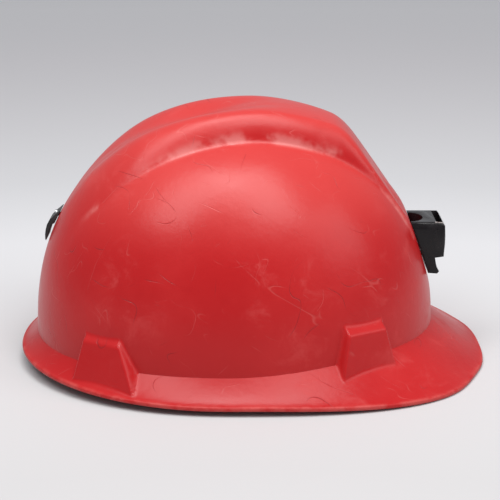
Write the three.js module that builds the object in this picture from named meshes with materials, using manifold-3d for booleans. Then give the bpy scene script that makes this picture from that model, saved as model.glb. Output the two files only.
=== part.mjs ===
// Hard hat: injection moulded shell with a full peak, a lamp bracket, a rear cord clip and a
// strap suspension with a ratchet nape band. Millimetres, +Z up, +X towards the peak.
import * as THREE from 'three';
import Module from 'manifold-3d';

const wasm = await Module();
wasm.setup();

// shell
const SHELL_X = -12;              // centre of the dome in plan
const CREASE_Z = 20.5;            // height of the crease where dome meets brim, at the rear
const CREASE_RISE = 6.5;          // how much higher the crease is above the peak
const DOME_FRONT = 123.5;
const DOME_REAR = 123;
const DOME_SIDE = 103;
const DOME_RISE = 128;
const PLAN_POWER = 2.15;
const RISE_POWER = 2.25;
const WALL = 2.8;
const STANCE = -2.8;              // drop that sets the peak's edge and the nape housing on the floor
const MIDDLE = 0.75;              // shift that centres the shell's length on the origin
const PEAK_REACH = 155.5;
const NAPE_REACH = 133;
const BRIM_SIDE = 118;
const BRIM_THICK = 2.8;
const COLUMNS = 84;
const DOME_ROWS = 20;
const INNER_ROWS = 14;
// raised V on the crown: angle over the crown from the peak side, height, half width at its foot
const RIB_ANGLE = [0, 27, 38, 60, 72, 84, 98, 115, 126, 133, 141, 149, 180];
const RIB_RAISE = [0, 0, 14.8, 14, 13.6, 13.8, 11.9, 8.8, 5.1, 3.1, 1.2, 0, 0];
const RIB_FOOT = [27, 27, 27.5, 30, 34, 36, 42, 49.5, 51.5, 51, 47, 45, 45];
// flat faces on the front of the crown and behind the lamp bracket: unit normal x, z and offset
const CROWN_FLAT = [0.8202, 0.5721, 130.1];
const PAD_FLAT = [0.9436, 0.3312, 120.0];
// suspension bosses: plan position, height range, reach of the drafted face at foot and top,
// width at foot and top, and how far the foot lies forward of the top
const REAR_BOSS = { x: -86.4, low: 14.2, top: 35.4, out: 8, lean: 2.6, wide: 40.7, narrow: 25.6, skew: 4 };
const FRONT_BOSS = { x: 64, low: 20.5, top: 42.2, out: 6.2, lean: 3.3, wide: 36, narrow: 26, skew: 0 };
const BOSSES = [
  { name: 'rear_left', side: 1, ...REAR_BOSS },
  { name: 'rear_right', side: -1, ...REAR_BOSS },
  { name: 'front_left', side: 1, ...FRONT_BOSS },
  { name: 'front_right', side: -1, ...FRONT_BOSS },
];
const POCKET_WALL = 2;
const POCKET_TOP = 29.5;
const POCKET_LEAST = 2.9;         // least depth of a boss's pocket, so that the key's tab enters it
// lamp bracket
const BRACKET_HALF = 16.5;
const BRACKET_TOP = 88.5;
const BRACKET_GAP = 0.3;
const BRACKET_SCREW_Y = 9;
const BRACKET_SCREW_Z = 67;
// head band and nape ratchet: one upright axis serves the rear straps
const BAND_X = -24;
const BAND_R = 83.4;              // outer face of the sliding rear straps
const BAND_FRONT = 115;
const BAND_POWER = 2.35;
const BAND_THICK = 1.6;
const STRAP_THICK = 1.4;
const NAPE_Z = 17 - STANCE;
const STRAP_HALF = 12;
const PINION_R = 7;
const PINION_TEETH = 10;
const TOOTH_REACH = 1.05;
const TOOTH_ROOT = 1.45;
const RACK_LIFT = 0.25;
const HOUSING_ARC = 25;
const KNOB_R = 16.5;
// crown straps
const CROWN_Z = 117;
const STRAP_WIDE = 20;
const WEB_THICK = 1.3;

const red = new THREE.MeshStandardMaterial({ color: 0xc22b2a, roughness: 0.4 });
const black = new THREE.MeshStandardMaterial({ color: 0x1d1a1c, roughness: 0.3 });
const grey = new THREE.MeshStandardMaterial({ color: 0x3b3c3f, roughness: 0.6 });
const webbing = new THREE.MeshStandardMaterial({ color: 0x2a2b2e, roughness: 0.95 });
const foam = new THREE.MeshStandardMaterial({ color: 0x4a4745, roughness: 1.0 });
const steel = new THREE.MeshStandardMaterial({ color: 0xa9a9ab, roughness: 0.35, metalness: 1 });

const group = new THREE.Group();
group.position.set(MIDDLE, 0, STANCE);
const rad = THREE.MathUtils.degToRad;
const lerp = THREE.MathUtils.lerp;
const clamp = THREE.MathUtils.clamp;
const smooth = (v, a, b) => THREE.MathUtils.smoothstep(v, a, b);
const power = (v, e) => Math.sign(v) * Math.abs(v) ** e;

function table(v, keys, values) {
  let i = 0;
  while (i < keys.length - 2 && v > keys[i + 1]) i += 1;
  const t = clamp((v - keys[i]) / (keys[i + 1] - keys[i]), 0, 1);
  return lerp(values[i], values[i + 1], t);
}

function softMin(a, b, k) {
  const h = Math.max(k - Math.abs(a - b), 0) / k;
  return Math.min(a, b) - h * h * k / 4;
}

// a closed body from points and triangles, turned to face outwards
function solid(points, faces) {
  let volume = 0;
  for (const [a, b, c] of faces) {
    const va = new THREE.Vector3(...points[a]);
    volume += va.dot(new THREE.Vector3(...points[b]).cross(new THREE.Vector3(...points[c])));
  }
  const out = volume < 0 ? faces.map(([a, b, c]) => [a, c, b]) : faces;
  const mesh = new wasm.Mesh({
    numProp: 3,
    vertProperties: new Float32Array(points.flat()),
    triVerts: new Uint32Array(out.flat()),
  });
  return new wasm.Manifold(mesh);
}

// rings of equal count joined in order; caps fan from each end ring's middle
function loft(rings) {
  const n = rings[0].length;
  const points = rings.flat();
  const faces = [];
  for (let i = 0; i < rings.length - 1; i += 1) {
    for (let j = 0; j < n; j += 1) {
      const a = i * n + j;
      const b = i * n + (j + 1) % n;
      faces.push([a, b, b + n], [a, b + n, a + n]);
    }
  }
  const middle = (ring) => [0, 1, 2].map((k) => ring.reduce((s, p) => s + p[k], 0) / n);
  points.push(middle(rings[0]), middle(rings[rings.length - 1]));
  const last = (rings.length - 1) * n;
  for (let j = 0; j < n; j += 1) {
    const k = (j + 1) % n;
    faces.push([points.length - 2, k, j], [points.length - 1, last + j, last + k]);
  }
  return solid(points, faces);
}

// turned body: radius and height pairs placed by a function of radius, angle and height
function turned(profile, place, sides = 20) {
  const rings = [];
  for (const [r, h] of profile) {
    const ring = [];
    for (let j = 0; j < sides; j += 1) ring.push(place(r, 2 * Math.PI * j / sides, h));
    rings.push(ring);
  }
  return loft(rings);
}

// flat outline pushed between two depths; caps follow the outline
function extrude(outline, place, from, to) {
  const shape = outline.map(([a, b]) => new THREE.Vector2(a, b));
  const caps = THREE.ShapeUtils.triangulateShape(shape, []);
  const n = outline.length;
  const points = [from, to].flatMap((d) => outline.map(([a, b]) => place(a, b, d)));
  const turn = THREE.ShapeUtils.area(shape) > 0;
  const faces = [];
  for (const [a, b, c] of caps) faces.push([a, c, b], [a + n, b + n, c + n]);
  for (let j = 0; j < n; j += 1) {
    const k = (j + 1) % n;
    const quad = turn ? [[j, k, k + n], [j, k + n, j + n]] : [[j, k + n, k], [j, j + n, k + n]];
    faces.push(...quad);
  }
  return solid(points, faces);
}

function add(name, shape, material) {
  const { vertProperties, triVerts } = shape.getMesh();
  const geometry = new THREE.BufferGeometry();
  geometry.setAttribute('position', new THREE.BufferAttribute(vertProperties, 3));
  geometry.setIndex(new THREE.BufferAttribute(triVerts, 1));
  geometry.computeVertexNormals();
  const mesh = new THREE.Mesh(geometry, material);
  mesh.name = name;
  group.add(mesh);
}

// ---------------------------------------------------------------- shell surface
const domeX = (plan, spread) => {
  const reach = Math.cos(plan) > 0 ? DOME_FRONT : DOME_REAR;
  return SHELL_X + reach * power(Math.cos(plan), 2 / PLAN_POWER) * spread;
};
const domeY = (plan, spread) => DOME_SIDE * power(Math.sin(plan), 2 / PLAN_POWER) * spread;

function ribRaise(angle, y) {
  const raise = table(angle, RIB_ANGLE, RIB_RAISE);
  const foot = table(angle, RIB_ANGLE, RIB_FOOT);
  const bank = lerp(14, 22, smooth(angle, 90, 132));
  const crest = foot - bank;
  const outer = Math.sin(clamp((foot - Math.abs(y)) / bank, 0, 1) * Math.PI / 2) ** 0.85;
  const valley = smooth(angle, 74, 104) * smooth(crest - Math.abs(y), 0, crest * 0.8);
  return raise * outer - Math.min(9.5, raise * 0.8) * valley;
}

function shellPoint(plan, lift, inset) {
  const spread = Math.max(Math.cos(lift), 0) ** (2 / RISE_POWER);
  const x = domeX(plan, spread) - SHELL_X;
  const y = domeY(plan, spread);
  const z = DOME_RISE * Math.max(Math.sin(lift), 0) ** (2 / RISE_POWER);
  const size = Math.hypot(x, y, z);
  const dir = [x / size, y / size, z / size];
  const raise = ribRaise(THREE.MathUtils.radToDeg(Math.atan2(z, x)), y);
  let reach = size + raise;
  const facing = CROWN_FLAT[0] * dir[0] + CROWN_FLAT[1] * dir[2];
  if (facing > 0.1) {
    const plane = (CROWN_FLAT[2] - CROWN_FLAT[0] * SHELL_X - CROWN_FLAT[1] * CREASE_Z) / facing;
    reach = Math.max(size, softMin(reach, plane, 6));
  }
  const ahead = PAD_FLAT[0] * dir[0] + PAD_FLAT[1] * dir[2];
  if (ahead > 0.1) {
    const plane = (PAD_FLAT[2] - PAD_FLAT[0] * SHELL_X - PAD_FLAT[1] * CREASE_Z) / ahead;
    reach = softMin(reach, plane, 1.5);
  }
  reach -= inset;
  return [SHELL_X + dir[0] * reach, dir[1] * reach, CREASE_Z + dir[2] * reach];
}

function brimReach(angle) {
  const front = Math.cos(angle) > 0;
  const n = front ? 2.75 : 2.13;
  const a = front ? PEAK_REACH : NAPE_REACH;
  const sum = (Math.abs(Math.cos(angle)) / a) ** n + (Math.abs(Math.sin(angle)) / BRIM_SIDE) ** n;
  const d = THREE.MathUtils.radToDeg(Math.acos(clamp(Math.cos(angle), -1, 1)));
  return sum ** (-1 / n) - 3 * Math.exp(-(((d - 22) / 9) ** 2));
}

function brimLow(angle) {
  const d = Math.abs(THREE.MathUtils.radToDeg(Math.atan2(Math.sin(angle), Math.cos(angle))));
  const peak = lerp(-STANCE, 6, smooth(d, 25, 85)) + 0.5 * Math.exp(-((d / 9) ** 2));
  return peak + 4 * smooth(d, 95, 170);
}

// height of the crease above its rear level, and the dome angle that reaches it
const creaseRise = (plan) => CREASE_RISE * smooth(Math.cos(plan), -0.05, 0.8);
const creaseLift = (plan) => Math.asin((creaseRise(plan) / DOME_RISE) ** (RISE_POWER / 2));

function brimPoint(angle, base, crease, t, drop) {
  const edge = brimReach(angle) - 1;
  const top = brimLow(angle) + BRIM_THICK;
  const r = lerp(base, edge, t);
  const z = crease + (top - crease) * (1 - (1 - clamp(t, 0, 1)) ** 1.3) - drop;
  return [SHELL_X + r * Math.cos(angle), r * Math.sin(angle), z];
}

// one column of points from the outer apex round the brim edge to the inner apex
function shellColumn(plan) {
  const column = [];
  const lift = creaseLift(plan);
  const crease = CREASE_Z + creaseRise(plan);
  for (let i = 1; i <= DOME_ROWS; i += 1) {
    column.push(shellPoint(plan, lerp(Math.PI / 2, lift, i / DOME_ROWS), 0));
  }
  const foot = column[column.length - 1];
  const angle = Math.atan2(foot[1], foot[0] - SHELL_X);
  const base = Math.hypot(foot[0] - SHELL_X, foot[1]);
  const reach = brimReach(angle);
  const low = brimLow(angle);
  for (const t of [0.12, 0.35, 0.65, 1]) column.push(brimPoint(angle, base, crease, t, 0));
  for (const [back, z] of [[0.2, low + 2], [0, low + 0.8], [0.7, low]]) {
    const r = reach - back;
    column.push([SHELL_X + r * Math.cos(angle), r * Math.sin(angle), z]);
  }
  for (const t of [0.65, 0.3, 0.06]) column.push(brimPoint(angle, base, crease, t, BRIM_THICK));
  const r = base - WALL;
  column.push([SHELL_X + r * Math.cos(angle), r * Math.sin(angle), crease - 2.6]);
  for (let i = 0; i < INNER_ROWS; i += 1) {
    column.push(shellPoint(plan, lerp(lift, Math.PI / 2, i / INNER_ROWS), WALL));
  }
  return column;
}

function grid(columns, first, last) {
  const rows = columns[0].length;
  const points = columns.flat();
  points.push(first, last);
  const faces = [];
  for (let c = 0; c < columns.length; c += 1) {
    const a = c * rows;
    const b = ((c + 1) % columns.length) * rows;
    faces.push([points.length - 2, a, b], [points.length - 1, b + rows - 1, a + rows - 1]);
    for (let i = 0; i < rows - 1; i += 1) {
      faces.push([a + i, a + i + 1, b + i + 1], [a + i, b + i + 1, b + i]);
    }
  }
  return solid(points, faces);
}

const columns = [];
const hollowColumns = [];
for (let c = 0; c < COLUMNS; c += 1) {
  const plan = 2 * Math.PI * c / COLUMNS;
  const column = shellColumn(plan);
  columns.push(column);
  const inner = column.slice(-INNER_ROWS);
  hollowColumns.push([[inner[0][0], inner[0][1], -5], ...inner]);
}
const apex = shellPoint(0, Math.PI / 2, 0);
const innerApex = shellPoint(0, Math.PI / 2, WALL);
let shell = grid(columns, apex, innerApex);
const hollow = grid(hollowColumns, [SHELL_X, 0, -5], innerApex);
// the space under the brim, so that nothing added above hangs below it
const underColumns = columns.map((column) => {
  const under = column.slice(-INNER_ROWS - 5, -INNER_ROWS);
  return [[under[0][0], under[0][1], -30], ...under];
});
const under = grid(underColumns, [SHELL_X, 0, -30], [SHELL_X, 0, CREASE_Z]);

// ---------------------------------------------------------------- suspension bosses
// local frame at the dome's foot: out is the horizontal normal, along is the tangent
function frameAt(x, side) {
  const reach = x > SHELL_X ? DOME_FRONT : DOME_REAR;
  const u = Math.abs(x - SHELL_X) / reach;
  const y = side * DOME_SIDE * (1 - u ** PLAN_POWER) ** (1 / PLAN_POWER);
  const v = Math.abs(y) / DOME_SIDE;
  const gx = Math.sign(x - SHELL_X) * u ** (PLAN_POWER - 1) / reach;
  const gy = side * v ** (PLAN_POWER - 1) / DOME_SIDE;
  const size = Math.hypot(gx, gy);
  const out = [gx / size, gy / size];
  return (r, t, z) => [x + out[0] * r - out[1] * t, y + out[1] * r + out[0] * t, z];
}

// upright wedge with rounded front corners, from levels of height, reach, half width, middle
// and half width at the back
function wedge(place, levels, depth, corner) {
  const rings = levels.map(([z, out, half, middle = 0, back = half]) => {
    const ring = [];
    for (const side of [1, -1]) {
      for (let i = 0; i <= 3; i += 1) {
        const a = side > 0 ? (i / 3) * Math.PI / 2 : (1 - i / 3) * Math.PI / 2;
        const t = middle + side * (half - corner + corner * Math.cos(a));
        ring.push(place(out - corner + corner * Math.sin(a), t, z));
      }
    }
    ring.push(place(depth, middle - back, z), place(depth, middle + back, z));
    return ring;
  });
  return loft(rings);
}

const bossShare = (boss, z) => (z - boss.low) / (boss.top - boss.low);
const bossOut = (boss, z) => lerp(boss.out, boss.lean, bossShare(boss, z));

for (const boss of BOSSES) {
  const place = frameAt(boss.x, boss.side);
  const levels = [];
  for (const z of [boss.low - 3, (boss.low + boss.top) / 2, boss.top - 0.8]) {
    const t = bossShare(boss, z);
    const half = lerp(boss.wide, boss.narrow, t) / 2;
    levels.push([z, bossOut(boss, z), half, -boss.side * boss.skew * (1 - t), half + 1.6]);
  }
  levels.push([boss.top, boss.lean - 0.4, boss.narrow / 2, 0, boss.narrow / 2 + 1.6]);
  levels.push([boss.top + 4.2, -1.6, boss.narrow / 2 + 0.8, 0, boss.narrow / 2 + 1]);
  shell = shell.add(wedge(place, levels, -8, 1.4).subtract(hollow).subtract(under));
}
for (const boss of BOSSES) {
  const place = frameAt(boss.x, boss.side);
  const pocket = [2, boss.low, POCKET_TOP].map((z) => {
    const out = Math.min(bossOut(boss, z), boss.out) - POCKET_WALL;
    return [z, Math.max(out, POCKET_LEAST), lerp(12, 11, clamp(bossShare(boss, z), 0, 1))];
  });
  shell = shell.subtract(wedge(place, pocket, 0.2, 0.6));
}

// ---------------------------------------------------------------- lamp bracket
const padAt = (z) => (PAD_FLAT[2] + BRACKET_GAP - PAD_FLAT[1] * z) / PAD_FLAT[0];
const upright = (x, z, y) => [x, y, z];
const bracketOutline = [
  [padAt(56.6), 56.6], [113.2, 56.2], [114.4, 57.6], [112.7, 60.5], [111.6, 66.3],
  [117, 67], [117.6, 74], [117.7, 80], [117.2, 86.4], [115.6, BRACKET_TOP], [padAt(88.5), BRACKET_TOP],
];
const EDGE = 2.2;                 // width of the rounding along the bracket's two upper side edges
function bracketSlice(y, shrink) {
  return bracketOutline.map(([x, z]) => {
    const up = Math.min(z, BRACKET_TOP - shrink);
    return [clamp(x, padAt(up), 117.8 - shrink * 0.4), y, up];
  });
}
let bracket = extrude(bracketOutline, upright, -BRACKET_HALF + EDGE, BRACKET_HALF - EDGE);
for (const side of [1, -1]) {
  const rings = [[0, 0], [0.9, 0.4], [1.7, 1.6], [EDGE, 4.4]].map(([dy, drop]) => (
    bracketSlice(side * (BRACKET_HALF - EDGE + dy), drop)
  ));
  const faces = [];
  const n = rings[0].length;
  const shape = bracketOutline.map(([a, b]) => new THREE.Vector2(a, b));
  const caps = THREE.ShapeUtils.triangulateShape(shape, []);
  for (let i = 0; i < rings.length - 1; i += 1) {
    for (let j = 0; j < n; j += 1) {
      const a = i * n + j;
      const b = i * n + (j + 1) % n;
      faces.push([a, b, b + n], [a, b + n, a + n]);
    }
  }
  const last = (rings.length - 1) * n;
  const end = caps.map(([a, b, c]) => [a + last, b + last, c + last]);
  const start = caps.map(([a, b, c]) => [a, c, b]);
  bracket = bracket.add(solid(rings.flat(), [...faces, ...start, ...end]));
}
// vertical slot for the lamp's blade, then the half round pocket beside the shell
const slot = [[111.9, -13.4], [111.9, 14.6], [116.2, 14.6], [116.2, -13.4], [114.9, -14.4], [113.2, -14.4]];
const flatAt = (x, y, z) => [x, y, z];
bracket = bracket.subtract(extrude(slot, flatAt, 60, 95));
const pocketRing = [];
for (let i = 0; i < 20; i += 1) {
  const a = 2 * Math.PI * i / 20;
  pocketRing.push([96 + 8.9 * Math.cos(a), -2 + 11.2 * Math.sin(a)]);
}
bracket = bracket.subtract(extrude(pocketRing, flatAt, 75.5, 95));
// screw holes square to the pad, through the shell and blind in the bracket
const padX = (PAD_FLAT[2] - PAD_FLAT[1] * BRACKET_SCREW_Z) / PAD_FLAT[0];
function padFrame(y) {
  const [nx, nz] = PAD_FLAT;
  return (r, a, h) => {
    const up = r * Math.cos(a);
    return [padX + nx * h - nz * up, y + r * Math.sin(a), BRACKET_SCREW_Z + nz * h + nx * up];
  };
}
const plateHalf = 15;
const padPlace = padFrame(0);
const plateOutline = [
  [-5.5, -plateHalf], [5.5, -plateHalf], [6.5, -plateHalf + 1], [6.5, plateHalf - 1],
  [5.5, plateHalf], [-5.5, plateHalf], [-6.5, plateHalf - 1], [-6.5, -plateHalf + 1],
];
const plateAt = (u, v, h) => padPlace(Math.hypot(u, v), Math.atan2(v, u), h);
const plateBack = -WALL - 1.0;
let plate = extrude(plateOutline, plateAt, plateBack - 1.5, plateBack);
for (const side of [1, -1]) {
  const place = padFrame(side * BRACKET_SCREW_Y);
  shell = shell.subtract(turned([[2, -9], [2, 3]], place, 16));
  bracket = bracket.subtract(turned([[1.75, -1], [1.75, 8.6]], place, 16));
  plate = plate.subtract(turned([[1.9, -9], [1.9, 1]], place, 16));
  const head = plateBack - 1.8;
  const screw = turned([
    [2.2, head - 2.1], [3.1, head - 1.5], [3.3, head - 0.6], [3.3, head], [1.5, head], [1.5, 7.6], [0.7, 8.3],
  ], place, 16);
  add(side > 0 ? 'bracket_screw_left' : 'bracket_screw_right', screw, steel);
}

// ---------------------------------------------------------------- rear cord clip
// a moulded lip on the rear of the shell; its free lower edge pinches a lamp cord
const rearAt = (z, out) => {
  const s = (z - CREASE_Z) / DOME_RISE;
  return SHELL_X - DOME_REAR * (1 - s ** RISE_POWER) ** (1 / RISE_POWER) - out;
};
const clipOutline = [];
for (let i = 0; i <= 4; i += 1) {
  const z = lerp(94.2, 86, i / 4);
  clipOutline.push([rearAt(z, 0.4), z]);
}
for (let i = 0; i <= 3; i += 1) {
  const z = lerp(85, 76, i / 3);
  clipOutline.push([rearAt(z, 1.8 - 0.2 * i), z]);
}
const clipFace = [[74.9, 1.5], [76, 2.3], [79, 3.4], [82, 4.2], [85, 4.7], [88, 4.4], [91, 2.9], [94, 0.9]];
for (const [z, out] of clipFace) {
  clipOutline.push([rearAt(z, out), z]);
}
let clip = extrude(clipOutline, upright, -8, 8);
const RIVET_Z = 90;
const clipRivetAt = (r, a, h) => [
  rearAt(RIVET_Z, 0) - h * 0.88, r * Math.sin(a), RIVET_Z + h * 0.47 + r * Math.cos(a),
];
clip = clip.subtract(turned([[1.9, -3], [1.9, 6]], clipRivetAt, 14));
shell = shell.subtract(turned([[2.1, -8], [2.1, 3]], clipRivetAt, 14));
add('cord_clip', clip, black);
add('clip_rivet', turned([
  [3, -5.6], [3.2, -4.4], [1.6, -4.3], [1.6, 2.6], [1.4, 3],
], clipRivetAt, 14), steel);

add('shell', shell, red);
add('lamp_bracket', bracket, black);
add('bracket_plate', plate, steel);

// ---------------------------------------------------------------- head band and nape ratchet
// plan radius of the band about its upright axis: round at the rear, longer at the front
function bandBase(angle) {
  const c = Math.cos(angle);
  if (c <= 0) return BAND_R;
  const sum = (c / BAND_FRONT) ** BAND_POWER + (Math.abs(Math.sin(angle)) / BAND_R) ** BAND_POWER;
  return sum ** (-1 / BAND_POWER);
}

// curved bar: each section gives an angle in degrees and its lower and upper edge
function bandBar(sections, inner, outer) {
  return loft(sections.map(([degrees, low, high]) => {
    const a = rad(degrees);
    const base = bandBase(a);
    const at = (off, z) => [BAND_X + (base + off) * Math.cos(a), (base + off) * Math.sin(a), z];
    return [at(inner, low), at(outer, low), at(outer, high), at(inner, high)];
  }));
}

function steps(from, to, count, edges) {
  const list = [];
  for (let i = 0; i <= count; i += 1) {
    const d = lerp(from, to, i / count);
    list.push([d, ...edges(d)]);
  }
  return list;
}

const BAND_END = 135;
const EAR_ANGLE = 127;
const bandEdges = (d) => {
  const back = smooth(Math.abs(d), 58, 96);
  const ear = Math.exp(-(((Math.abs(d) - EAR_ANGLE) / 5.5) ** 4));
  return [lerp(21, NAPE_Z - 13, back), lerp(50, NAPE_Z + 13, back) + 11 * ear];
};
let band = bandBar(steps(-BAND_END, BAND_END, 72, bandEdges), 0.4, 0.4 + BAND_THICK);

// the two sliding straps: plain at the side, a toothed tail over or under the pinion
const toothPitch = 2 * Math.PI * PINION_R / PINION_TEETH;
const rackAngle = (mm) => THREE.MathUtils.radToDeg(mm / (BAND_R - STRAP_THICK / 2));
const RACK_LINE = PINION_R + RACK_LIFT;
function strap(side) {
  const low = NAPE_Z - STRAP_HALF;
  const high = NAPE_Z + STRAP_HALF;
  const sections = steps(98, 150, 10, () => [-STRAP_HALF, STRAP_HALF]);
  const root = RACK_LINE + TOOTH_ROOT;
  const tip = RACK_LINE - TOOTH_REACH;
  sections.push([150.4, root, STRAP_HALF]);
  for (let d = 155; d < 164; d += 4) sections.push([d, root, STRAP_HALF]);
  for (let k = -4; k < 4; k += 1) {
    const mid = (k + 0.5) * toothPitch;
    for (const [shift, z] of [[-1.5, root], [-0.62, tip], [0.62, tip], [1.5, root]]) {
      sections.push([180 + rackAngle(mid + shift), z, STRAP_HALF]);
    }
  }
  sections.push([194, root, STRAP_HALF]);
  const placed = sections.map(([d, a, b]) => (
    side > 0 ? [d, NAPE_Z + a, NAPE_Z + b] : [-d, NAPE_Z - b, NAPE_Z - a]
  ));
  return bandBar(placed, -STRAP_THICK, 0).intersect(
    extrude([[-200, low], [200, low], [200, high], [-200, high]], (a, b, d) => [a, d, b], -200, 200),
  );
}
add('nape_strap_left', strap(1), grey);
add('nape_strap_right', strap(-1), grey);

// C shaped keepers hold each strap against the band
for (const side of [1, -1]) {
  const edges = () => [NAPE_Z - 14.6, NAPE_Z + 14.6];
  const ring = bandBar(steps(side * 106, side * 112, 2, edges), -2.7, 3.3);
  const gap = bandBar(steps(side * 105, side * 113, 2, () => [NAPE_Z - 13.3, NAPE_Z + 13.3]), -1.7, 2.3);
  add(side > 0 ? 'keeper_left' : 'keeper_right', ring.subtract(gap), grey);
}

// ratchet housing: an open tray with two screw posts, and its cover
const radial = (degrees) => (r, a, h) => {
  const c = Math.cos(rad(degrees));
  const s = Math.sin(rad(degrees));
  const t = r * Math.sin(a);
  return [BAND_X + c * h - s * t, s * h + c * t, NAPE_Z + r * Math.cos(a)];
};
const arcEdges = (low, high) => () => [low, high];
const from = 180 - HOUSING_ARC;
const to = 180 + HOUSING_ARC;
let tray = bandBar(steps(from, to, 12, arcEdges(NAPE_Z - 17, NAPE_Z + 17)), -4.8, 1.6);
tray = tray.subtract(bandBar(steps(from - 3, to + 3, 12, arcEdges(NAPE_Z - 14, NAPE_Z + 14)), -3, 9));
let cover = bandBar(steps(from, to, 12, arcEdges(NAPE_Z - 17, NAPE_Z + 17)), 1.9, 3.7);
for (const d of [162.5, 197.5]) {
  const place = radial(d);
  tray = tray.add(turned([[3.2, BAND_R - 3.6], [3.2, BAND_R + 1.6]], place, 16));
  tray = tray.subtract(turned([[1.15, BAND_R - 2.2], [1.15, BAND_R + 4]], place, 14));
  cover = cover.subtract(turned([[1.5, BAND_R], [1.5, BAND_R + 6]], place, 14));
  const head = BAND_R + 4;
  add(d < 180 ? 'housing_screw_left' : 'housing_screw_right', turned([
    [0.9, BAND_R - 1.8], [0.9, head], [2.7, head], [2.7, head + 0.7], [1.9, head + 1.5],
  ], place, 14), steel);
}
const axle = radial(180);
tray = tray.subtract(turned([[2.58, BAND_R - 9], [2.58, BAND_R - 1]], axle, 24));
cover = cover.subtract(turned([[4.28, BAND_R], [4.28, BAND_R + 6]], axle, 32));
add('ratchet_tray', tray, grey);
add('ratchet_cover', cover, grey);

// pinion: ten stub teeth between the two racks, a shaft out through the cover
const gear = [];
for (let k = 0; k < PINION_TEETH; k += 1) {
  const mid = k * 2 * Math.PI / PINION_TEETH;
  for (const [half, r] of [[-1.3, -TOOTH_ROOT], [-0.6, TOOTH_REACH], [0.6, TOOTH_REACH], [1.3, -TOOTH_ROOT]]) {
    const reach = PINION_R + r;
    gear.push([reach, mid + half / reach]);
  }
}
const gearRing = (h) => gear.map(([r, a]) => axle(r, a, h));
let pinion = loft([gearRing(BAND_R - 2.4), gearRing(BAND_R + 1)]);
pinion = pinion.add(turned([[2.5, BAND_R - 4.5], [2.5, BAND_R - 2]], axle, 24));
pinion = pinion.add(turned([[4.2, BAND_R + 0.6], [4.2, BAND_R + 11]], axle, 32));
pinion = pinion.subtract(turned([[1.5, BAND_R + 3], [1.5, BAND_R + 12]], axle, 16));
add('ratchet_pinion', pinion, grey);

// knob with twelve finger ribs and a recessed screw
const knobSides = 60;
const knobProfile = [
  [0.9, 0.02, 4.4], [1, 0.035, 5.2], [1, 0.035, 11.6], [0.95, 0.025, 13.6], [0.86, 0.008, 14.6], [0.5, 0, 14.9],
];
let knob = loft(knobProfile.map(([scale, wave, h]) => {
  const ring = [];
  for (let j = 0; j < knobSides; j += 1) {
    const a = 2 * Math.PI * j / knobSides;
    ring.push(axle(KNOB_R * (scale - wave + wave * Math.cos(12 * a)), a, BAND_R + h));
  }
  return ring;
}));
knob = knob.subtract(turned([[4.4, BAND_R + 3], [4.4, BAND_R + 11.3]], axle, 32));
knob = knob.subtract(turned([[1.7, BAND_R + 10], [1.7, BAND_R + 16]], axle, 16));
knob = knob.subtract(turned([[3.6, BAND_R + 13.2], [3.6, BAND_R + 16]], axle, 20));
add('ratchet_knob', knob, black);
add('knob_screw', turned([
  [1.25, BAND_R + 4.5], [1.25, BAND_R + 13.4], [3, BAND_R + 13.4], [3, BAND_R + 14], [2.2, BAND_R + 14.6],
], axle, 16), steel);

// soft pads: brow sweatband inside the front, nape pad inside the ratchet
add('brow_pad', bandBar(steps(-36, 36, 20, () => [20, 49]), -3.5, 0.1), foam);
add('nape_pad', bandBar(steps(154, 206, 12, () => [NAPE_Z - 13.5, NAPE_Z + 13.5]), -8.4, -5.1), foam);

// ---------------------------------------------------------------- suspension keys
const POST_Z = 38.4;
const KEY_TOP = 27.5;
const KEY_IN = -11;
const KEY_OUT = -8.8;
const SLOT_LOW = 41;
const SLOT_HIGH = 44.6;
const block = (place, r0, r1, half, z0, z1) => loft([z0, z1].map((z) => (
  [place(r0, -half, z), place(r1, -half, z), place(r1, half, z), place(r0, half, z)]
)));

// distance inwards from the dome's foot to the band's outer face
function bandReach(place) {
  for (let d = 12; d < 60; d += 0.1) {
    const [x, y] = place(-d, 0, 0);
    const angle = Math.atan2(y, x - BAND_X);
    if (Math.hypot(x - BAND_X, y) < bandBase(angle) + 0.4 + BAND_THICK) return d;
  }
  return 60;
}

for (const boss of BOSSES) {
  const place = frameAt(boss.x, boss.side);
  const reach = bandReach(place);
  const pad = -reach + 2.6;
  const post = (r, a, h) => place(h, r * Math.sin(a), POST_Z + r * Math.cos(a));
  let key = block(place, 0.6, 2.4, 10, 12.4, KEY_TOP);
  key = key.add(block(place, KEY_IN, 2.4, 10, 10.6, 12.8));
  key = key.add(block(place, KEY_IN, KEY_OUT, 10, 10.6, 34));
  key = key.add(block(place, KEY_IN, KEY_OUT, 14, 33, 47.5));
  key = key.subtract(block(place, KEY_IN - 1, KEY_OUT + 1, 11.5, SLOT_LOW, SLOT_HIGH));
  key = key.add(block(place, pad - 0.5, KEY_IN + 0.5, 5, POST_Z - 1.2, POST_Z + 1.2));
  key = key.add(block(place, pad - 1.2, pad + 0.8, 6, POST_Z - 5, POST_Z + 5));
  key = key.add(turned([[2.4, pad], [2.4, pad - 6], [3.6, pad - 6.2], [3, pad - 7.2]], post, 16));
  band = band.subtract(turned([[2.75, pad + 3], [2.75, pad - 9]], post, 16));
  add('key_' + boss.name, key, black);
}
add('head_band', band, black);

// ---------------------------------------------------------------- crossing crown straps
// each end turns through its key's slot and lies back along the strap
const turnPath = [
  [-12.4, 62], [-11.2, 57], [-10.2, 53.6], [-8.7, 50.6], [-7.85, 48], [-7.85, 44.2],
  [-8.4, 42.7], [-9.9, 42.2], [-11.4, 42.6], [-11.95, 44.2],
];
const STRAP_START = 48;

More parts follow.
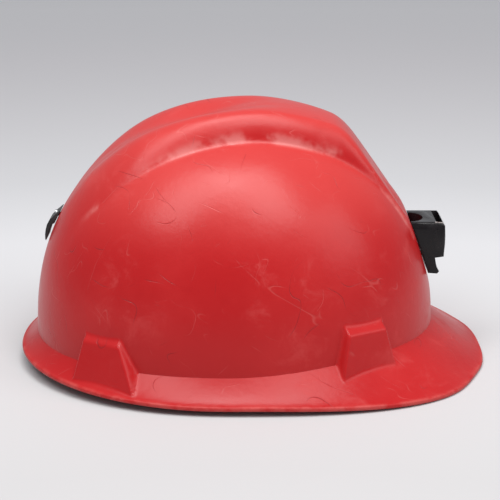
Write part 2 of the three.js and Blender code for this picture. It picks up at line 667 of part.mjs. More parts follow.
function ribbon(path, thick) {
  const rings = path.map(({ at, wide }, i) => {
    const before = path[Math.max(i - 1, 0)].at;
    const after = path[Math.min(i + 1, path.length - 1)].at;
    const along = after.clone().sub(before).normalize();
    const face = along.clone().cross(wide).normalize().multiplyScalar(thick / 2);
    const across = wide.clone().normalize().multiplyScalar(STRAP_WIDE / 2);
    return [[1, 1], [1, -1], [-1, -1], [-1, 1]].map(([p, q]) => (
      at.clone().addScaledVector(across, p).addScaledVector(face, q).toArray()
    ));
  });
  return loft(rings);
}

function crownStrap(startBoss, endBoss, top) {
  const ends = [startBoss, endBoss].map((boss) => frameAt(boss.x, boss.side));
  const wides = ends.map((place) => {
    const a = new THREE.Vector3(...place(0, 1, 0));
    return a.sub(new THREE.Vector3(...place(0, 0, 0)));
  });
  wides[1].negate();
  const [p, q] = ends.map((place) => new THREE.Vector3(...place(-11.95, 0, STRAP_START)));
  const middle = p.clone().add(q).multiplyScalar(0.5);
  const half = p.clone().sub(q).multiplyScalar(0.5);
  const across = new THREE.Vector3(-half.y, half.x, 0).normalize();
  if (across.dot(wides[0]) < 0) across.negate();
  if (across.dot(wides[1]) < 0) wides[1].negate();
  const path = turnPath.map(([r, z]) => ({ at: new THREE.Vector3(...ends[0](r, 0, z)), wide: wides[0] }));
  const count = 24;
  for (let i = 0; i <= count; i += 1) {
    const a = Math.PI * i / count;
    const at = middle.clone().addScaledVector(half, Math.cos(a));
    at.z = STRAP_START + (top - STRAP_START) * Math.sin(a);
    const wide = across.clone();
    if (i < count / 2) wide.lerpVectors(wides[0], across, smooth(a, 0, 0.9));
    else wide.lerpVectors(wides[1], across, smooth(Math.PI - a, 0, 0.9));
    path.push({ at, wide });
  }
  for (const [r, z] of [...turnPath].reverse()) {
    path.push({ at: new THREE.Vector3(...ends[1](r, 0, z)), wide: wides[1] });
  }
  return ribbon(path, WEB_THICK);
}
add('crown_strap_lower', crownStrap(BOSSES[2], BOSSES[1], CROWN_Z), webbing);
add('crown_strap_upper', crownStrap(BOSSES[3], BOSSES[0], CROWN_Z + 2.6), webbing);

export default group;
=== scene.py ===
import math

import bmesh
import bpy
import numpy as np
from mathutils import Matrix, Vector


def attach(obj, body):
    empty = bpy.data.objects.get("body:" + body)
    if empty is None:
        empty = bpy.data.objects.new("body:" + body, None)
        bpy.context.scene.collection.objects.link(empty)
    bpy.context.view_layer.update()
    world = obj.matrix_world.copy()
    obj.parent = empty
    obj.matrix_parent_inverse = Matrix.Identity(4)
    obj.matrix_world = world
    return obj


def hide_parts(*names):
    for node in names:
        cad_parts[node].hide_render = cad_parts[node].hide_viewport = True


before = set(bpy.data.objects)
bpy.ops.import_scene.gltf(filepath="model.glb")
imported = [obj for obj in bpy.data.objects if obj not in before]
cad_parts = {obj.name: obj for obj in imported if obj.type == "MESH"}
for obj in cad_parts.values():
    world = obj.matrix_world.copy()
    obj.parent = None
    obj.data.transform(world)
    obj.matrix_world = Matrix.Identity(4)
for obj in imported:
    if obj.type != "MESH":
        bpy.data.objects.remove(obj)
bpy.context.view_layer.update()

# ------------------------------------------------------------------ camera
# A long lens at table height plus sixteen degrees, square to the wearer's right side.
# The peak points to the right.
camera_data = bpy.data.cameras.new("camera")
camera_data.sensor_width = 36
camera_data.lens = 104.4
camera = bpy.data.objects.new("camera", camera_data)
camera.location = (-0.00125, -0.8709, 0.3135)
camera.rotation_euler = (math.radians(74), 0, 0)
bpy.context.scene.collection.objects.link(camera)
bpy.context.scene.camera = camera

# ------------------------------------------------------------------ shell
# One injection moulded dome of red high density polyethylene, 2.8 mm thick, with a brim all
# round, a full peak, a raised V over the crown and four hollow bosses for the suspension keys.
# Years of use have scratched it, chalked it and whitened its rim.
MM = 0.001
DOME_MIDDLE_X = -11.25
CREASE_Z = 17.7
DOME_FRONT, DOME_REAR, DOME_SIDE, DOME_RISE = 123.5, 123.0, 103.0, 128.0
PLAN_POWER, RISE_POWER = 2.15, 2.25
SHELL_WALL = 2.8
PEAK_REACH, NAPE_REACH, BRIM_SIDE, BRIM_THICK = 155.5, 133.0, 118.0, 2.8
CROWN_FLAT = (0.8202, 0.5721, 128.21)
BRACKET_FLAT = (0.9436, 0.3312, 124.53)
RIB_ANGLE = (0, 27, 38, 60, 72, 84, 98, 115, 126, 133, 141, 149, 180)
RIB_RAISE = (0, 0, 14.8, 14, 13.6, 13.8, 11.9, 8.8, 5.1, 3.1, 1.2, 0, 0)
RIB_FOOT = (27, 27, 27.5, 30, 34, 36, 42, 49.5, 51.5, 51, 47, 45, 45)
CREASE_RISE = 6.5
REAR_BOSS = {
    "x": -85.65, "low": 11.4, "top": 32.6, "out": 8, "lean": 2.6, "wide": 40.7, "narrow": 25.6, "skew": 4
}
FRONT_BOSS = {
    "x": 64.75, "low": 17.7, "top": 39.4, "out": 6.2, "lean": 3.3, "wide": 36, "narrow": 26, "skew": 0
}
BOSSES = (REAR_BOSS, FRONT_BOSS)


def signed_power(value, power):
    return np.sign(value) * np.abs(value) ** power


def ease(value, start, end):
    t = np.clip((value - start) / (end - start), 0, 1)
    return t * t * (3 - 2 * t)


def soft_min(a, b, width):
    h = np.clip(width - np.abs(a - b), 0, None) / width
    return np.minimum(a, b) - h * h * width / 4


def flowing(angle, stations, heights):
    """A table of heights read as one smooth curve."""
    fine = np.arange(-20, 201, 0.5)
    rough = np.interp(fine, stations, heights)
    bell = np.exp(-((np.arange(-24, 25) * 0.5 / 4.0) ** 2))
    padded_run = np.concatenate([np.full(24, rough[0]), rough, np.full(24, rough[-1])])
    return np.interp(angle, fine, np.convolve(padded_run, bell / bell.sum(), "valid"))


def rib_height(over, y):
    raise_by = flowing(over, RIB_ANGLE, RIB_RAISE)
    foot = flowing(over, RIB_ANGLE, RIB_FOOT)
    bank = 14 + 8 * ease(over, 90, 132)
    crest = foot - bank
    up = (foot - np.abs(y)) / bank
    up = np.clip((up + np.sqrt(up * up + 0.0025)) / 2, 0, 1)
    wall = np.sin(up * np.pi / 2) ** 0.85
    valley = ease(over, 74, 104) * ease(crest - np.abs(y), 0, crest * 0.8)
    return raise_by * wall - np.minimum(9.5, raise_by * 0.8) * valley


def dome_surface(plan, lift, inset):
    """Points of the dome; plan runs round it and lift from crease to crown, in radians."""
    spread = np.clip(np.cos(lift), 0, None) ** (2 / RISE_POWER)
    reach = np.where(np.cos(plan) > 0, DOME_FRONT, DOME_REAR)
    x = reach * signed_power(np.cos(plan), 2 / PLAN_POWER) * spread
    y = DOME_SIDE * signed_power(np.sin(plan), 2 / PLAN_POWER) * spread
    z = DOME_RISE * np.clip(np.sin(lift), 0, None) ** (2 / RISE_POWER)
    size = np.sqrt(x * x + y * y + z * z)
    dx, dy, dz = x / size, y / size, z / size
    out = size + rib_height(np.degrees(np.arctan2(z, x)), y)
    facing = CROWN_FLAT[0] * dx + CROWN_FLAT[1] * dz
    plane = CROWN_FLAT[2] / np.maximum(facing, 0.1)
    out = np.where(facing > 0.1, np.maximum(size, soft_min(out, plane, 6)), out)
    ahead = BRACKET_FLAT[0] * dx + BRACKET_FLAT[1] * dz
    plane = BRACKET_FLAT[2] / np.maximum(ahead, 0.1)
    out = np.where(ahead > 0.1, soft_min(out, plane, 1.5), out) - inset
    return np.stack([DOME_MIDDLE_X + dx * out, dy * out, CREASE_Z + dz * out], -1)


def brim_reach(angle):
    front = np.cos(angle) > 0
    power = np.where(front, 2.75, 2.13)
    length = np.where(front, PEAK_REACH, NAPE_REACH)
    total = (np.abs(np.cos(angle)) / length) ** power + (np.abs(np.sin(angle)) / BRIM_SIDE) ** power
    turn = np.degrees(np.arccos(np.clip(np.cos(angle), -1, 1)))
    return total ** (-1 / power) - 3 * np.exp(-(((turn - 22) / 9) ** 2))


def brim_low(angle):
    turn = np.degrees(np.arccos(np.clip(np.cos(angle), -1, 1)))
    peak = 3.2 * ease(turn, 25, 85) + 0.5 * np.exp(-((turn / 9) ** 2))
    return peak + 4 * ease(turn, 95, 170)


def brim_surface(angle, base, crease, share, drop):
    top = brim_low(angle) + BRIM_THICK
    radius = base + (brim_reach(angle) - 1 - base) * share
    z = crease + (top - crease) * (1 - (1 - np.clip(share, 0, 1)) ** 1.3) - drop
    return np.stack([DOME_MIDDLE_X + radius * np.cos(angle), radius * np.sin(angle), z], -1)


def boss_frame(x, side):
    """Foot of the dome at a boss, with its outward and sideways directions."""
    reach = DOME_FRONT if x > DOME_MIDDLE_X else DOME_REAR
    u = abs(x - DOME_MIDDLE_X) / reach
    y = side * DOME_SIDE * (1 - u**PLAN_POWER) ** (1 / PLAN_POWER)
    v = abs(y) / DOME_SIDE
    gx = math.copysign(u ** (PLAN_POWER - 1) / reach, x - DOME_MIDDLE_X)
    gy = side * v ** (PLAN_POWER - 1) / DOME_SIDE
    size = math.hypot(gx, gy)
    out = np.array([gx / size, gy / size, 0])
    return np.array([x, y, 0]), out, np.array([-out[1], out[0], 0])


def soft_max(a, b, width):
    return -soft_min(-a, -b, width)


def boss_depth(boss, out, along, z):
    """How deep a point lies in a boss: below zero inside it, with slightly rounded edges."""
    up = (z - boss["low"]) / (boss["top"] - boss["low"])
    reach = boss["out"] + (boss["lean"] - boss["out"]) * up
    face = out - reach
    cap = (z - boss["top"] + 0.82 * (out - boss["lean"])) * 0.77
    half = (boss["wide"] + (boss["narrow"] - boss["wide"]) * np.clip(up, -0.2, 1.1)) / 2
    side = np.abs(along - boss["skew"] * (1 - up)) - half - 0.16 * (reach - out)
    return soft_max(soft_max(face, cap, 0.8), side, 1.1)


boss_places = []
for boss in BOSSES:
    for side in (1, -1):
        foot, out, along = boss_frame(boss["x"], side)
        boss_places.append((boss, foot, out, along * -side))


def swell_over_bosses(points):
    """Pushes the outer skin straight out over each boss, with a small fillet at its foot."""
    points = points.copy()
    for boss, foot, out, along in boss_places:
        local = points - foot
        r, t = local @ out, local @ along
        near = (np.abs(t) < 32) & (r < 20) & (r > -12) & (points[..., 2] < boss["top"] + 14)
        r, t, z = r[near], t[near], points[..., 2][near]
        travel = np.zeros_like(r)
        for s in np.arange(0, 16, 0.05):
            depth = boss_depth(boss, r + s, t, z)
            travel = np.where(soft_min(s + 0 * depth, depth, 1.2) < 0, s, travel)
        points[near] += travel[:, None] * out
    return points


COLUMNS = 540
plan_fine = np.linspace(0, 2 * np.pi, 7201)
crowding = np.ones_like(plan_fine)
for boss, foot, out, along in boss_places:
    for shift in (-19.5, -14, 14, 21):
        spot = foot + along * shift
        reach = DOME_FRONT if spot[0] > DOME_MIDDLE_X else DOME_REAR
        across = signed_power(spot[1] / DOME_SIDE, PLAN_POWER / 2)
        plan = math.atan2(across, signed_power((spot[0] - DOME_MIDDLE_X) / reach, PLAN_POWER / 2))
        gap = np.angle(np.exp(1j * (plan_fine - plan)))
        crowding += 3.2 * np.exp(-((gap / math.radians(2.2)) ** 2))
running = np.concatenate([[0], np.cumsum((crowding[1:] + crowding[:-1]) / 2)])
plans = np.interp(np.arange(COLUMNS) / COLUMNS * running[-1], running, plan_fine)

crease_rise = CREASE_RISE * ease(np.cos(plans), -0.05, 0.8)
crease_lift = np.arcsin((crease_rise / DOME_RISE) ** (RISE_POWER / 2))[:, None]
crease = (CREASE_Z + crease_rise)[:, None]
climb = np.concatenate([np.linspace(89.4, 24, 100), np.linspace(23.4, 0, 84)])[None] / 90
outer = dome_surface(plans[:, None], crease_lift + (math.pi / 2 - crease_lift) * climb, 0)
foot_points = outer[:, -1]
angles = np.arctan2(foot_points[:, 1], foot_points[:, 0] - DOME_MIDDLE_X)
bases = np.hypot(foot_points[:, 0] - DOME_MIDDLE_X, foot_points[:, 1])
shares = np.concatenate([np.linspace(0.02, 0.3, 10), np.linspace(0.35, 1, 22)])
brim_top = brim_surface(angles[:, None], bases[:, None], crease, shares[None], 0)
outer = swell_over_bosses(np.concatenate([outer, brim_top], 1))

edge_turns = np.linspace(75, -90, 9)
lip_radius = BRIM_THICK / 2
lip_out = brim_reach(angles)[:, None] - 1.1 + 1.1 * np.cos(np.radians(edge_turns))
lip_z = brim_low(angles)[:, None] + lip_radius + lip_radius * np.sin(np.radians(edge_turns))
lip = np.stack(
    [DOME_MIDDLE_X + lip_out * np.cos(angles)[:, None], lip_out * np.sin(angles)[:, None], lip_z], -1
)
under = brim_surface(angles[:, None], bases[:, None], crease, np.linspace(0.92, 0.05, 14)[None], BRIM_THICK)
throat_z = crease + np.linspace(-2.6, -0.6, 3)[None]
throat = (bases - SHELL_WALL)[:, None] + 0 * throat_z
throat = np.stack(
    [DOME_MIDDLE_X + throat * np.cos(angles)[:, None], throat * np.sin(angles)[:, None], throat_z], -1
)
climb = np.linspace(0, 89, 90)[None] / 90
inner = dome_surface(plans[:, None], crease_lift + (math.pi / 2 - crease_lift) * climb, SHELL_WALL)
skin = np.concatenate([outer, lip, under, throat, inner], 1)

rows = skin.shape[1]
crown = dome_surface(np.array(0.0), np.array(math.pi / 2), 0)
inner_crown = dome_surface(np.array(0.0), np.array(math.pi / 2), SHELL_WALL)
points = np.concatenate([skin.reshape(-1, 3), [crown, inner_crown]]) * MM
crown_index, inner_index = COLUMNS * rows, COLUMNS * rows + 1
faces = []
for c in range(COLUMNS):
    a, b = c * rows, ((c + 1) % COLUMNS) * rows
    faces.append((crown_index, a, b))
    faces.extend((a + i, a + i + 1, b + i + 1, b + i) for i in range(rows - 1))
    faces.append((inner_index, b + rows - 1, a + rows - 1))


def new_piece(name, points, faces, crease=38):
    """A mesh object from points in metres, facing out, shaded smooth but for its sharp edges."""
    mesh = bpy.data.meshes.new(name)
    mesh.from_pydata([tuple(p) for p in points], [], faces)
    tidy = bmesh.new()
    tidy.from_mesh(mesh)
    bmesh.ops.recalc_face_normals(tidy, faces=tidy.faces)
    tidy.to_mesh(mesh)
    tidy.free()
    mesh.shade_smooth()
    mesh.set_sharp_from_angle(angle=math.radians(crease))
    piece = bpy.data.objects.new(name, mesh)
    bpy.context.scene.collection.objects.link(piece)
    return piece


shell = new_piece("shell_moulding", points, faces)


def cut_away(piece, cutter, crease=38):
    """Cuts one closed piece out of another and drops the cutter."""
    step = piece.modifiers.new("cut", "BOOLEAN")
    step.operation, step.solver, step.object = "DIFFERENCE", "MANIFOLD", cutter
    bpy.context.view_layer.objects.active = piece
    with bpy.context.temp_override(object=piece, active_object=piece):
        bpy.ops.object.modifier_apply(modifier=step.name)
    bpy.data.objects.remove(cutter)
    piece.data.shade_smooth()
    piece.data.set_sharp_from_angle(angle=math.radians(crease))


def ring_stack(name, rings, crease=38):
    """A closed piece from rings of points in millimetres, capped at both ends."""
    count = len(rings[0])
    stacked = np.array(rings, float).reshape(-1, 3) * MM
    sides = []
    for i in range(len(rings) - 1):
        for j in range(count):
            k = (j + 1) % count
            sides.append((i * count + j, i * count + k, (i + 1) * count + k, (i + 1) * count + j))
    last = (len(rings) - 1) * count
    ends = [tuple(range(count))[::-1], tuple(range(last, last + count))]
    return new_piece(name, stacked, sides + ends, crease)


POCKET_TOP = 26.7
POCKET_WALL, POCKET_LEAST, POCKET_HALF = 2, 2.9, 12
for boss, foot, out, along in boss_places:
    rings = []
    for z in (-0.8, boss["low"], POCKET_TOP):
        up = min(max((z - boss["low"]) / (boss["top"] - boss["low"]), 0), 1)
        face = max(boss["out"] + (boss["lean"] - boss["out"]) * up - POCKET_WALL, POCKET_LEAST)
        half = POCKET_HALF - up
        corners = [(0.2, -half), (face, -half), (face, half), (0.2, half)]
        rings.append([foot + out * r + along * t + np.array([0, 0, z]) for r, t in corners])
    cut_away(shell, ring_stack("boss_pocket", rings))


def turned(name, profile, place, sides=32):
    """A turned piece: radius and height pairs laid round an axis by place(radius, angle, height)."""
    rounds = [2 * math.pi * j / sides for j in range(sides)]
    return ring_stack(name, [[place(r, a, h) for a in rounds] for r, h in profile])


# holes for the two bracket screws and the clip's rivet
SCREW_Z, SCREW_Y = 64.2, 9
SCREW_FOOT = (BRACKET_FLAT[2] - BRACKET_FLAT[1] * (SCREW_Z - CREASE_Z)) / BRACKET_FLAT[0] + DOME_MIDDLE_X


def bracket_axis(y):
    """Places a screw's turned profile square to the bracket's flat."""
    nx, nz = BRACKET_FLAT[:2]

    def place(r, a, h):
        up = r * math.cos(a)
        return (SCREW_FOOT + nx * h - nz * up, y + r * math.sin(a), SCREW_Z + nz * h + nx * up)

    return place


def rear_wall(z):
    """Where the outside of the dome's rear is at a height."""
    share = (z - CREASE_Z) / DOME_RISE
    return DOME_MIDDLE_X - DOME_REAR * (1 - share**RISE_POWER) ** (1 / RISE_POWER)


RIVET_Z = 87.2


def rivet_axis(r, a, h):
    return (rear_wall(RIVET_Z) - 0.88 * h, r * math.sin(a), RIVET_Z + 0.47 * h + r * math.cos(a))


for side in (1, -1):
    cut_away(shell, turned("screw_hole", [(2, -9), (2, 3)], bracket_axis(SCREW_Y * side)))
cut_away(shell, turned("rivet_hole", [(2.1, -8), (2.1, 3)], rivet_axis))


def wire(tree, kind, inputs=None, **settings):
    """Adds a node; each input is a plain value or another node's output."""
    made = tree.nodes.new(kind)
    for key, value in settings.items():
        setattr(made, key, value)
    for key, value in (inputs or {}).items():
        if isinstance(value, bpy.types.NodeSocket):
            tree.links.new(value, made.inputs[key])
        else:
            made.inputs[key].default_value = value
    return made


def new_group(name, inputs, outputs):
    """An empty shader group with named float and vector sockets."""
    tree = bpy.data.node_groups.new(name, "ShaderNodeTree")
    for title, kind, value in inputs:
        socket = tree.interface.new_socket(title, in_out="INPUT", socket_type=kind)
        if value is not None:
            socket.default_value = value
    for title, kind in outputs:
        tree.interface.new_socket(title, in_out="OUTPUT", socket_type=kind)
    return tree, tree.nodes.new("NodeGroupInput"), tree.nodes.new("NodeGroupOutput")


def use_group(tree, group, inputs):
    return wire(tree, "ShaderNodeGroup", inputs, node_tree=group)


def maths(tree, operation, *values):
    return wire(tree, "ShaderNodeMath", dict(enumerate(values)), operation=operation).outputs[0]


def between(tree, value, low, high, start=0.0, end=1.0):
    span = {"Value": value, "From Min": low, "From Max": high, "To Min": start, "To Max": end}
    return wire(tree, "ShaderNodeMapRange", span, interpolation_type="SMOOTHSTEP").outputs[0]


def tint(tree, amount, under, over):
    made = wire(tree, "ShaderNodeMix", {0: amount}, data_type="RGBA")
    for index, colour in ((6, under), (7, over)):
        if isinstance(colour, bpy.types.NodeSocket):
            tree.links.new(colour, made.inputs[index])
        else:
            made.inputs[index].default_value = (*colour, 1)
    return made.outputs[2]


def cloud(tree, where, scale, detail=3.0, roughness=0.55, distortion=0.0):
    inputs = {"Vector": where, "Scale": scale, "Detail": detail, "Roughness": roughness}
    inputs["Distortion"] = distortion
    return wire(tree, "ShaderNodeTexNoise", inputs).outputs[0]


def scratch_group():
    """Curved hairline scratches on three slants, gathered in patches."""
    tree, start, end = new_group(
        "hairline scratches",
        [
            ("Where", "NodeSocketVector", None),
            ("Scale", "NodeSocketFloat", 40.0),
            ("Width", "NodeSocketFloat", 0.003),
            ("Coverage", "NodeSocketFloat", 0.5),
            ("Turn", "NodeSocketFloat", 0.0),
        ],
        [("Mask", "NodeSocketFloat")],
    )
    found = None
    for tilt, swing in ((0.3, 0.7), (1.1, 2.0), (-0.5, -0.9)):
        swing_by = maths(tree, "ADD", start.outputs["Turn"], swing)
        turned_by = {"Vector": start.outputs["Where"], "Axis": (0.2, 1.0, tilt), "Angle": swing_by}
        slanted = wire(tree, "ShaderNodeVectorRotate", turned_by).outputs[0]
        drawn = wire(tree, "ShaderNodeVectorMath", {0: slanted, 1: (0.4, 1.0, 1.3)}, operation="MULTIPLY")
        field = cloud(tree, drawn.outputs[0], start.outputs["Scale"], 0.6)
        off_line = maths(tree, "ABSOLUTE", maths(tree, "SUBTRACT", field, 0.5))
        line = between(tree, off_line, start.outputs["Width"], 0.0)
        patch_scale = maths(tree, "MULTIPLY", start.outputs["Scale"], 0.8)
        patch = cloud(tree, slanted, patch_scale, 2.0)
        gate = maths(tree, "SUBTRACT", 0.72, maths(tree, "MULTIPLY", start.outputs["Coverage"], 0.4))
        gate = between(tree, maths(tree, "MULTIPLY", maths(tree, "SUBTRACT", patch, gate), 9.0), 0.0, 1.0)
        line = maths(tree, "MULTIPLY", line, gate)
        found = line if found is None else maths(tree, "MAXIMUM", found, line)
    tree.links.new(found, end.inputs["Mask"])
    return tree


fine_scratches = scratch_group()


def chip_group():
    """Small pale nicks, each a fraction of a millimetre to a millimetre across."""
    tree, start, end = new_group(
        "small chips",
        [
            ("Where", "NodeSocketVector", None),
            ("Spacing", "NodeSocketFloat", 60.0),
            ("Size", "NodeSocketFloat", 0.05),
            ("Share", "NodeSocketFloat", 0.3),
        ],
        [("Mask", "NodeSocketFloat")],
    )
    ragged = wire(tree, "ShaderNodeTexNoise", {"Vector": start.outputs["Where"], "Scale": 700.0})
    ragged = wire(tree, "ShaderNodeVectorMath", {0: ragged.outputs[1], "Scale": 0.0009}, operation="SCALE")
    where = wire(
        tree, "ShaderNodeVectorMath", {0: start.outputs["Where"], 1: ragged.outputs[0]}, operation="ADD"
    ).outputs[0]
    cell = wire(tree, "ShaderNodeTexVoronoi", {"Vector": where, "Scale": start.outputs["Spacing"]})
    pick = wire(tree, "ShaderNodeSeparateColor", {"Color": cell.outputs["Color"]})
    chosen = maths(tree, "LESS_THAN", pick.outputs[0], start.outputs["Share"])
    size = maths(tree, "MULTIPLY", start.outputs["Size"], maths(tree, "ADD", pick.outputs[1], 0.35))
    spot = maths(tree, "LESS_THAN", cell.outputs["Distance"], size)
    tree.links.new(maths(tree, "MULTIPLY", spot, chosen), end.inputs["Mask"])
    return tree


small_chips = chip_group()


def new_material(name, colour, roughness):
    made = bpy.data.materials.new(name)
    made.use_nodes = True
    tree = made.node_tree
    shader = tree.nodes["Principled BSDF"]
    shader.inputs["Base Color"].default_value = (*colour, 1)
    shader.inputs["Roughness"].default_value = roughness
    where = tree.nodes.new("ShaderNodeTexCoord").outputs["Object"]
    return made, tree, shader, where


def coat(piece, paint, slot):
    """Gives a piece its one material; the slot argument is not used."""
    piece.data.materials.clear()
    piece.data.materials.append(paint)
    piece.data.polygons.foreach_set("material_index", np.zeros(len(piece.data.polygons), dtype=np.int32))


def relief(tree, shader, height, depth, strength=1.0):
    bump = wire(tree, "ShaderNodeBump", {"Height": height, "Distance": depth, "Strength": strength})
    tree.links.new(bump.outputs[0], shader.inputs["Normal"])


def facing_up(tree):
    """The upright part of the surface's direction: one on top, nothing on an upright wall."""
    normal = tree.nodes.new("ShaderNodeNewGeometry").outputs["Normal"]
    return wire(tree, "ShaderNodeSeparateXYZ", {0: normal}).outputs[2]


SHELL_RED = (0.45, 0.0075, 0.009)
FADED_RED = (0.53, 0.020, 0.020)
CHALKED_RED = (0.62, 0.085, 0.080)
# TOP_LIGHT_RED is the colour of the painted light on the dome's top
TOP_LIGHT_RED = (0.64, 0.070, 0.062)
shell_paint, tree, shader, where = new_material("worn red shell", SHELL_RED, 0.34)
shader.inputs["Specular IOR Level"].default_value = 0.30
place_height = wire(tree, "ShaderNodeSeparateXYZ", {0: where}).outputs[2]
rim = wire(tree, "ShaderNodeAttribute", attribute_name="rim").outputs["Fac"]
crease_glint = wire(tree, "ShaderNodeAttribute", attribute_name="crease_glint").outputs["Fac"]
broad = between(tree, cloud(tree, where, 14.0, 4.0, 0.6), 0.40, 0.68)
rubbed = between(tree, cloud(tree, where, 55.0, 6.0, 0.7, 0.6), 0.50, 0.74)
rubbed = maths(tree, "MULTIPLY", rubbed, between(tree, cloud(tree, where, 11.0, 2.0), 0.42, 0.62))
pale_lines = use_group(
    tree, fine_scratches, {"Where": where, "Scale": 55.0, "Width": 0.007, "Coverage": 0.40, "Turn": 0.4}
).outputs[0]
dark_lines = use_group(
    tree, fine_scratches, {"Where": where, "Scale": 38.0, "Width": 0.0045, "Coverage": 0.34, "Turn": 2.1}
).outputs[0]
chips = use_group(
    tree, small_chips, {"Where": where, "Spacing": 26.0, "Size": 0.016, "Share": 0.05}
).outputs[0]
colour = tint(tree, maths(tree, "MULTIPLY", broad, 0.45), SHELL_RED, FADED_RED)
# painted light: upward-facing surfaces high on the dome are tinted lighter, where the overhead light falls
# on them
painted_top_light = between(tree, facing_up(tree), 0.20, 0.75)
painted_top_light = maths(tree, "MULTIPLY", painted_top_light, between(tree, place_height, 0.06, 0.12))
colour = tint(tree, maths(tree, "MULTIPLY", painted_top_light, 0.50), colour, TOP_LIGHT_RED)
colour = tint(tree, maths(tree, "MULTIPLY", rubbed, 0.36), colour, CHALKED_RED)
colour = tint(tree, maths(tree, "MULTIPLY", dark_lines, 0.55), colour, (0.14, 0.012, 0.015))
colour = tint(tree, maths(tree, "MULTIPLY", pale_lines, 0.12), colour, (0.80, 0.30, 0.27))
# painted highlight: a pale line along the foot of the crown ribs, broken up by noise
painted_crease_glint = maths(tree, "MULTIPLY", crease_glint, between(tree, cloud(tree, where, 40.0, 4.0), 0.46, 0.62))
colour = tint(tree, maths(tree, "MULTIPLY", painted_crease_glint, 0.35), colour, (0.86, 0.40, 0.37))
rim_wear = maths(tree, "MULTIPLY", rim, between(tree, cloud(tree, where, 90.0, 5.0, 0.7), 0.36, 0.62))
colour = tint(tree, maths(tree, "MULTIPLY", rim_wear, 0.22), colour, (0.72, 0.22, 0.19))
colour = tint(tree, maths(tree, "MULTIPLY", chips, 0.8), colour, (0.88, 0.62, 0.56))
tree.links.new(colour, shader.inputs["Base Color"])
gloss = maths(tree, "ADD", 0.29, maths(tree, "MULTIPLY", broad, 0.07))
gloss = maths(tree, "ADD", gloss, maths(tree, "MULTIPLY", rubbed, 0.22))
gloss = maths(tree, "ADD", gloss, maths(tree, "MULTIPLY", rim, 0.15))
tree.links.new(gloss, shader.inputs["Roughness"])
height = maths(tree, "MULTIPLY", cloud(tree, where, 260.0, 2.0), 0.25)
height = maths(tree, "ADD", height, maths(tree, "MULTIPLY", cloud(tree, where, 45.0, 3.0), 0.7))
height = maths(tree, "SUBTRACT", height, maths(tree, "MULTIPLY", dark_lines, 0.35))
height = maths(tree, "SUBTRACT", height, maths(tree, "MULTIPLY", pale_lines, 0.2))
relief(tree, shader, height, 0.00035)
coat(shell, shell_paint, "shell_red")

# how far each point is rubbed at the rim all round, and where the painted highlight runs along the foot of
# the crown ribs
spots = np.array([v.co for v in shell.data.vertices]) / MM
x, y, z = spots[:, 0] - DOME_MIDDLE_X, spots[:, 1], spots[:, 2] - CREASE_Z
to_edge = brim_reach(np.arctan2(y, x)) - np.hypot(x, y)
rim_share = (1 - ease(to_edge, 0.8, 2.6)) * (z < -2)
over = np.degrees(np.arctan2(z, x))
beside = np.abs(y) - flowing(over, RIB_ANGLE, RIB_FOOT)
crease_glint_share = np.exp(-((beside / 1.6) ** 2)) * ease(flowing(over, RIB_ANGLE, RIB_RAISE), 1, 4) * (z > 60)
for title, share in (("rim", rim_share), ("crease_glint", crease_glint_share)):
    layer = shell.data.attributes.new(title, "FLOAT", "POINT")
    layer.data.foreach_set("value", share.astype(np.float32))

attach(shell, "hat")
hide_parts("shell")

# ------------------------------------------------------------------ lamp bracket
# A gloss black nylon block that takes the blade of a cap lamp in its upright slot. Two steel
# screws pull it against the flat on the front of the shell, through a plate inside the crown.


def softened(node, name, width, crease=32):
    """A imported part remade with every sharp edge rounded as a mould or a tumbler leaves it."""
    piece = bpy.data.objects.new(name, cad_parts[node].data.copy())
    bpy.context.scene.collection.objects.link(piece)
    work = bmesh.new()
    work.from_mesh(piece.data)
    bmesh.ops.remove_doubles(work, verts=work.verts, dist=2e-6)
    bmesh.ops.dissolve_limit(work, angle_limit=math.radians(0.6), verts=work.verts, edges=work.edges)
    work.to_mesh(piece.data)
    work.free()
    step = piece.modifiers.new("rounding", "BEVEL")
    step.width, step.segments, step.limit_method = width * MM, 3, "ANGLE"
    step.angle_limit = math.radians(crease)
    bpy.context.view_layer.objects.active = piece
    with bpy.context.temp_override(object=piece, active_object=piece):
        bpy.ops.object.modifier_apply(modifier=step.name)
    piece.data.shade_smooth()
    piece.data.set_sharp_from_angle(angle=math.radians(crease + 8))
    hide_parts(node)
    return piece


def moulded_plastic(name, colour, roughness, grain=0.4, wear=0.35, dust=0.2):
    """Black or grey moulded plastic: fine grain, scuffs, light scratches and settled dust."""
    paint, tree, shader, where = new_material(name, colour, roughness)
    patch = between(tree, cloud(tree, where, 70.0, 5.0, 0.65), 0.42, 0.70)
    lines = use_group(
        tree, fine_scratches, {"Where": where, "Scale": 160.0, "Width": 0.006, "Coverage": 0.45, "Turn": 1.2}
    ).outputs[0]
    pale = tuple(0.75 * c + 0.09 for c in colour)
    shade = tint(tree, maths(tree, "MULTIPLY", patch, wear), colour, pale)
    shade = tint(tree, maths(tree, "MULTIPLY", lines, wear), shade, tuple(c + 0.16 for c in colour))
    settled = maths(tree, "MULTIPLY", between(tree, facing_up(tree), 0.5, 0.95), dust)
    specks = between(tree, cloud(tree, where, 320.0, 4.0, 0.7), 0.4, 0.75)
    settled = maths(tree, "MULTIPLY", settled, specks)
    shade = tint(tree, settled, shade, (0.36, 0.33, 0.31))
    tree.links.new(shade, shader.inputs["Base Color"])
    rough = maths(tree, "ADD", roughness, maths(tree, "MULTIPLY", patch, 0.18))
    rough = maths(tree, "ADD", rough, maths(tree, "MULTIPLY", settled, 0.4))
    tree.links.new(rough, shader.inputs["Roughness"])
    height = maths(tree, "MULTIPLY", cloud(tree, where, 1500.0, 2.0), grain)
    height = maths(tree, "SUBTRACT", height, maths(tree, "MULTIPLY", lines, 0.4))
    relief(tree, shader, height, 0.00012)
    return paint, tree, shader, where, shade


